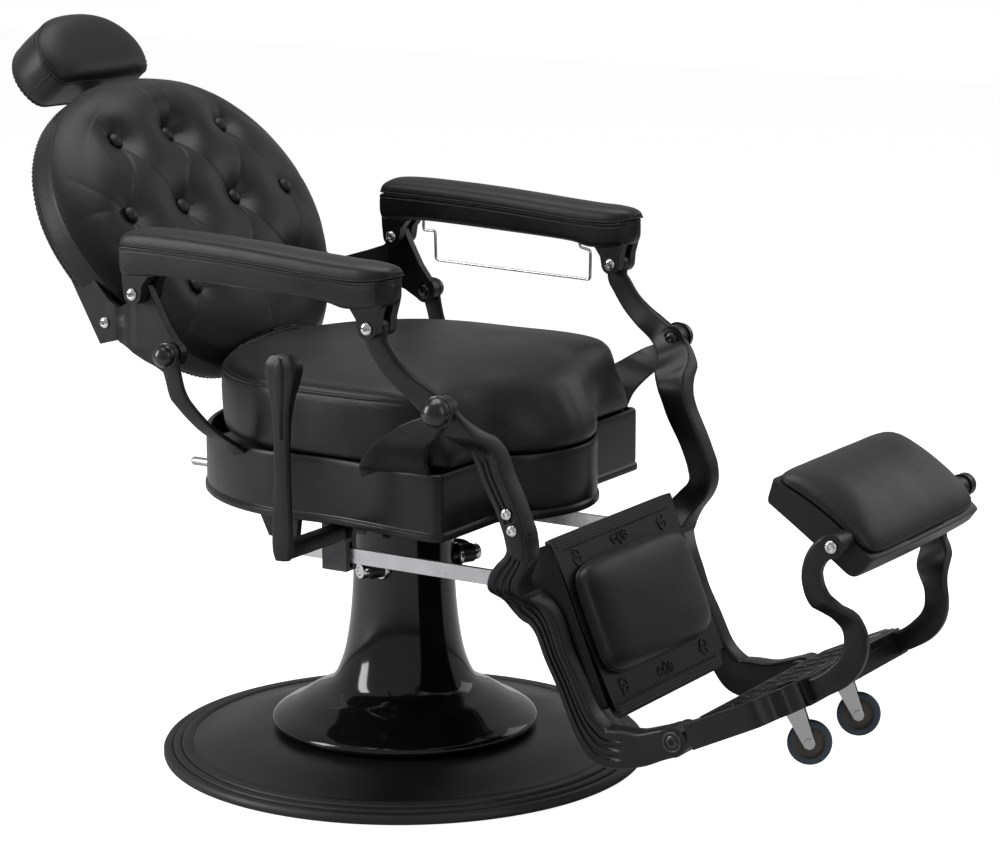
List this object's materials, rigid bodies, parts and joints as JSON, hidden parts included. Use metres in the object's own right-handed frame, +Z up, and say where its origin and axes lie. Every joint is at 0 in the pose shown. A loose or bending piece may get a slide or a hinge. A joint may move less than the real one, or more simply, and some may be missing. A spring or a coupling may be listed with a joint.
{
  "type": "barber chair",
  "caption": "Hydraulic barber chair with a round tufted reclining back, linked leg rest, folding footrest, flip footpad, headrest and a round pump base.",
  "frame": {"origin": "on the floor, at the axis of the lifting column", "axes": "+Z up, +X the way the sitter faces, +Y to the sitter's left; shown reclined with the leg rest raised"},
  "size_m": [1.375, 0.68, 0.9781],
  "materials": {
    "cast_black": "satin black enamel on cast aluminium",
    "steel_black": "satin black enamel on steel",
    "rim_rubber": "ribbed black rubber",
    "cover_gloss": "gloss black enamel",
    "knob_gloss": "gloss black ball knobs",
    "pump_steel": "dark machine paint",
    "chrome": "polished chrome",
    "zinc": "zinc-plated steel",
    "leatherette": "black grained leatherette",
    "tyre_grey": "blue-grey rubber",
    "hub_plastic": "grey-brown plastic"
  },
  "bodies": {
    "base": {"base_plate": "steel_black", "base_rim": "rim_rubber", "column_cover": "cover_gloss", "pump_cylinder": "pump_steel", "pump_head": "pump_steel", "pump_shaft": "pump_steel"},
    "pedal": {"pump_pedal": "chrome"},
    "lift": {"ram": "chrome"},
    "seat": {"seat_frame": "steel_black", "lock_right": "steel_black", "lock_left": "steel_black", "pull_rod": "chrome", "lever_bracket": "steel_black", "seat_apron": "cast_black", "seat_cushion": "leatherette", "front_bracket_right": "cast_black", "front_bracket_left": "cast_black", "rear_arm_right": "cast_black", "rear_arm_left": "cast_black", "seat_pivots": "knob_gloss"},
    "lever": {"recline_lever": "cast_black"},
    "back": {"back_bracket_right": "cast_black", "back_bracket_left": "cast_black", "back_shell": "leatherette", "back_cushion": "leatherette", "back_buttons": "leatherette", "back_screws": "chrome", "headrest_guide": "steel_black"},
    "headrest": {"headrest_bar": "chrome", "headrest_cushion": "leatherette"},
    "armrest_right": {"armrest_right": "cast_black", "arm_pad_right": "leatherette", "rest_pins_right": "chrome"},
    "armrest_left": {"armrest_left": "cast_black", "arm_pad_left": "leatherette", "rest_pins_left": "chrome", "towel_bar": "chrome"},
    "leg_rest": {"front_arm_right": "cast_black", "front_arm_left": "cast_black", "leg_frame_right": "cast_black", "leg_frame_left": "cast_black", "leg_screws": "chrome", "calf_plate": "cast_black", "calf_pad": "leatherette"},
    "link_right": {"link_bar_right": "zinc"},
    "link_left": {"link_bar_left": "zinc"},
    "footrest": {"footplate": "cast_black", "foot_arm_right": "cast_black", "foot_arm_left": "cast_black", "caster_mounts": "zinc"},
    "footpad": {"footpad_casing": "cast_black", "footpad_cushion": "leatherette", "footpad_pins": "chrome"},
    "caster_right": {"caster_fork_right": "chrome"},
    "caster_left": {"caster_fork_left": "chrome"},
    "wheel_right": {"caster_tyre_right": "tyre_grey", "caster_hub_right": "hub_plastic"},
    "wheel_left": {"caster_tyre_left": "tyre_grey", "caster_hub_left": "hub_plastic"}
  },
  "joints": [
    {"name": "pedal_tilt", "type": "hinge", "parent": "base", "child": "pedal", "pos_m": [0.03449, -0.01471, 0.271], "axis": [0.3923, 0.9198, 0], "range_deg": [-22, 10]},
    {"name": "seat_lift", "type": "slide", "parent": "base", "child": "lift", "axis": [0, 0, 1], "range_m": [0, 0.16]},
    {"name": "seat_swivel", "type": "hinge", "parent": "lift", "child": "seat", "pos_m": [0, 0, 0.36], "axis": [0, 0, 1], "continuous": true},
    {"name": "lever_pull", "type": "hinge", "parent": "seat", "child": "lever", "pos_m": [0.042, 0, 0.354], "axis": [0, -1, 0], "range_deg": [0, 25]},
    {"name": "back_recline", "type": "hinge", "parent": "seat", "child": "back", "pos_m": [-0.156, 0, 0.5807], "axis": [0, -1, 0], "range_deg": [-24, 12]},
    {"name": "headrest_slide", "type": "slide", "parent": "back", "child": "headrest", "axis": [-0.5519, 0, 0.8339], "range_m": [-0.012, 0.055]},
    {"name": "armrest_right_tilt", "type": "hinge", "parent": "back", "child": "armrest_right", "pos_m": [-0.202, -0.297, 0.6571], "axis": [0, -1, 0], "range_deg": [-12.93, 25.86]},
    {"name": "armrest_left_tilt", "type": "hinge", "parent": "back", "child": "armrest_left", "pos_m": [-0.202, 0.297, 0.6571], "axis": [0, -1, 0], "range_deg": [-12.93, 25.86]},
    {"name": "leg_rest_lift", "type": "hinge", "parent": "seat", "child": "leg_rest", "pos_m": [0.2534, 0, 0.55], "axis": [0, -1, 0], "range_deg": [-18.6, 9.3]},
    {"name": "link_right_pin", "type": "hinge", "parent": "leg_rest", "child": "link_right", "pos_m": [0.304, -0.163, 0.31], "axis": [0, -1, 0], "range_deg": [-9.3, 18.6]},
    {"name": "link_left_pin", "type": "hinge", "parent": "leg_rest", "child": "link_left", "pos_m": [0.304, 0.163, 0.31], "axis": [0, -1, 0], "range_deg": [-9.3, 18.6]},
    {"name": "footrest_fold", "type": "hinge", "parent": "leg_rest", "child": "footrest", "pos_m": [0.523, 0, 0.147], "axis": [0, -1, 0], "range_deg": [0, 30]},
    {"name": "footpad_flip", "type": "hinge", "parent": "footrest", "child": "footpad", "pos_m": [0.7324, 0, 0.4217], "axis": [0, 1, 0], "range_deg": [0, 120]},
    {"name": "caster_right_swivel", "type": "hinge", "parent": "footrest", "child": "caster_right", "pos_m": [0.62266, -0.07, 0.18448], "axis": [-0.4384, 0, 0.8988], "continuous": true},
    {"name": "wheel_right_roll", "type": "hinge", "parent": "caster_right", "child": "wheel_right", "pos_m": [0.64885, -0.06919, 0.13495], "axis": [-0.3656, 0.9135, -0.1783], "continuous": true},
    {"name": "caster_left_swivel", "type": "hinge", "parent": "footrest", "child": "caster_left", "pos_m": [0.62266, 0.07, 0.18448], "axis": [-0.4384, 0, 0.8988], "continuous": true},
    {"name": "wheel_left_roll", "type": "hinge", "parent": "caster_left", "child": "wheel_left", "pos_m": [0.64885, 0.07081, 0.13495], "axis": [-0.3656, 0.9135, -0.1783], "continuous": true}
  ],
  "couplings": [
    {"joint": "leg_rest_lift", "follows": "back_recline", "ratio": 0.775},
    {"joint": "armrest_right_tilt", "follows": "back_recline", "ratio": -1.0775},
    {"joint": "armrest_left_tilt", "follows": "back_recline", "ratio": -1.0775},
    {"joint": "link_right_pin", "follows": "back_recline", "ratio": -0.775},
    {"joint": "link_left_pin", "follows": "back_recline", "ratio": -0.775}
  ]
}
